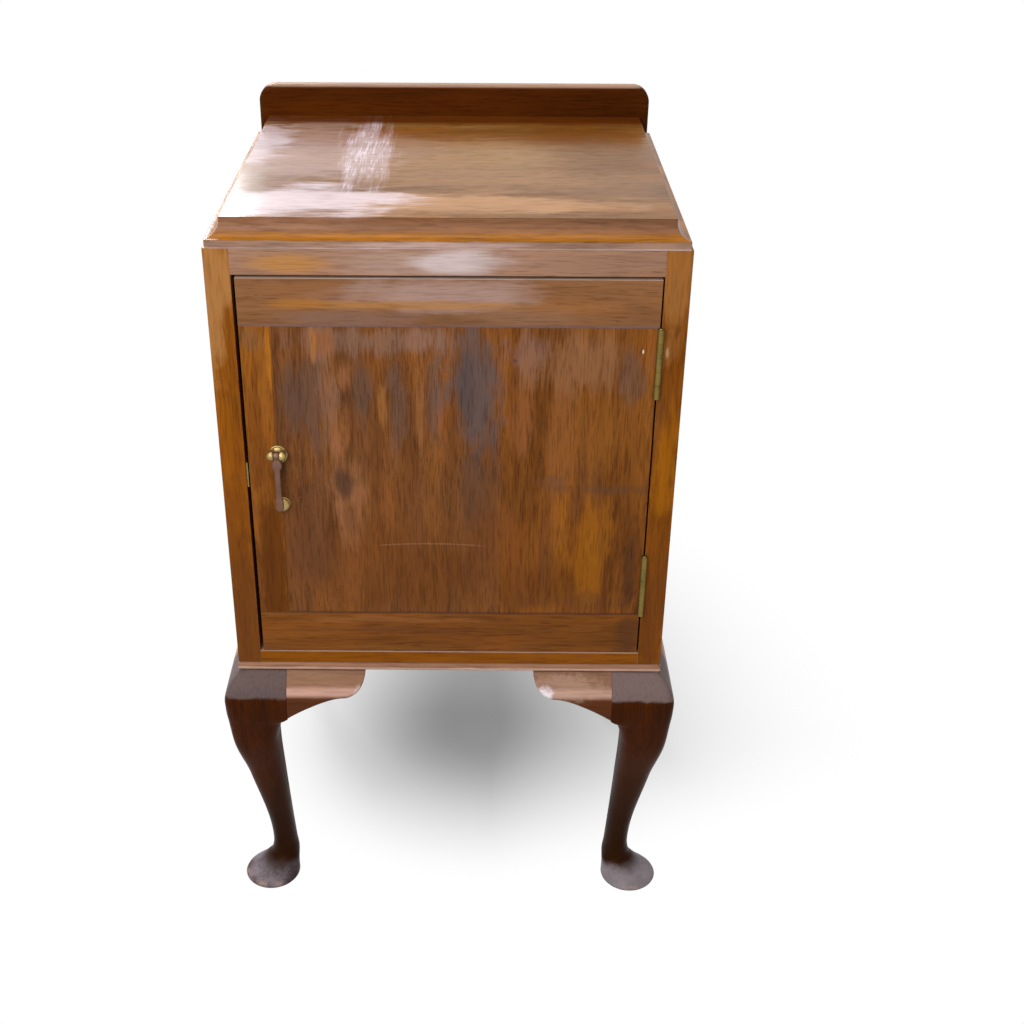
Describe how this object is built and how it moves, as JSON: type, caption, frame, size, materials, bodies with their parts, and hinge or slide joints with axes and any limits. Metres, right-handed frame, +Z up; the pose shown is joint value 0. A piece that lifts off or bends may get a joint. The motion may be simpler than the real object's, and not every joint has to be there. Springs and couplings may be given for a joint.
{
  "type": "bedside pot cupboard",
  "caption": "Stained wood bedside cupboard on cabriole legs, with a veneered door, brass drop pull, hollow moulded top and low back gallery",
  "frame": {"origin": "On the floor, under the middle of the case", "axes": "X to the right as seen from the front, Y to the back (the door faces -Y), Z up"},
  "size_m": [0.432, 0.385, 0.7411],
  "materials": {
    "case_wood": "Reddish brown stained wood under worn satin varnish",
    "rail_wood": "Stained wood with a pale worn sheen",
    "bottom_wood": "Orange brown varnished edge",
    "top_wood": "Reddish brown wood under glossy varnish with fine scuffs",
    "gallery_wood": "Very dark red brown varnish",
    "moulding_wood": "Varnished moulding, rubbed paler on its rounded edge",
    "leg_wood": "Very dark brown varnish, rubbed on the feet",
    "bracket_wood": "Dark brown varnish, rubbed on its tip",
    "door_left_wood": "Orange brown veneer, upright grain",
    "door_middle_wood": "Grey brown veneer with a wide arched grain",
    "door_right_wood": "Red orange veneer, upright grain",
    "door_head_wood": "Brown veneer with level grain",
    "door_foot_wood": "Mid brown veneer with level grain",
    "plain_wood": "Plain unvarnished wood",
    "hinge_brass": "Dulled brass, dark in its hollows",
    "hinge_screw_brass": "Brass screws",
    "pull_brass": "Rubbed brass",
    "drop_bronze": "Brown toned brass",
    "catch_brass": "Plain brass",
    "catch_steel": "Bright steel",
    "screw_steel": "Dull steel"
  },
  "bodies": {
    "case": {"side_left": "case_wood", "side_right": "case_wood", "bottom_board": "bottom_wood", "top_rail": "rail_wood", "back_rail": "plain_wood", "back_panel": "plain_wood", "back_panel_pins": "screw_steel", "top_board": "top_wood", "top_screws": "screw_steel", "gallery": "gallery_wood", "gallery_screws": "screw_steel", "shelf": "plain_wood", "shelf_bearer_left": "plain_wood", "shelf_bearer_right": "plain_wood", "shelf_bearer_screws": "screw_steel", "door_stop": "plain_wood", "base_moulding_front": "moulding_wood", "base_moulding_left": "moulding_wood", "base_moulding_right": "moulding_wood", "base_strip_back": "plain_wood", "leg_front_left": "leg_wood", "leg_front_right": "leg_wood", "leg_rear_left": "leg_wood", "leg_rear_right": "leg_wood", "leg_dowels": "plain_wood", "bracket_front_left": "bracket_wood", "bracket_front_right": "bracket_wood", "bracket_side_left_front": "bracket_wood", "bracket_side_left_rear": "bracket_wood", "bracket_side_right_front": "bracket_wood", "bracket_side_right_rear": "bracket_wood", "hinge_lower_case_leaf": "hinge_brass", "hinge_lower_pin": "hinge_brass", "hinge_upper_case_leaf": "hinge_brass", "hinge_upper_pin": "hinge_brass", "hinge_case_screws": "hinge_screw_brass", "strike_plate": "catch_brass", "strike_pins": "catch_brass"},
    "door": {"door_board_left": "door_left_wood", "door_board_middle": "door_middle_wood", "door_board_right": "door_right_wood", "door_cleat_top": "door_head_wood", "door_cleat_bottom": "door_foot_wood", "hinge_lower_door_leaf": "hinge_brass", "hinge_upper_door_leaf": "hinge_brass", "hinge_door_screws": "hinge_screw_brass", "pull_mount": "pull_brass", "pull_nut": "pull_brass", "pull_pivot_pin": "pull_brass", "rest_stud": "pull_brass", "catch_barrel": "catch_brass", "catch_spring": "catch_steel"},
    "pull": {"drop_pull": "drop_bronze"},
    "ball": {"catch_ball": "catch_steel"}
  },
  "joints": [
    {"name": "door_hinge", "type": "hinge", "parent": "case", "child": "door", "pos_m": [0.1777, -0.1785, 0.47775], "axis": [0, 0, 1], "range_deg": [0, 170]},
    {"name": "pull_swing", "type": "hinge", "parent": "door", "child": "pull", "pos_m": [-0.1493, -0.1861, 0.50355], "axis": [-1, 0, 0], "range_deg": [0, 85]},
    {"name": "ball_press", "type": "slide", "parent": "door", "child": "ball", "axis": [1, 0, 0], "range_m": [0, 0.0016], "stiffness_N_per_m": 500, "springref_m": -0.002, "deforming": ["catch_spring"]}
  ]
}
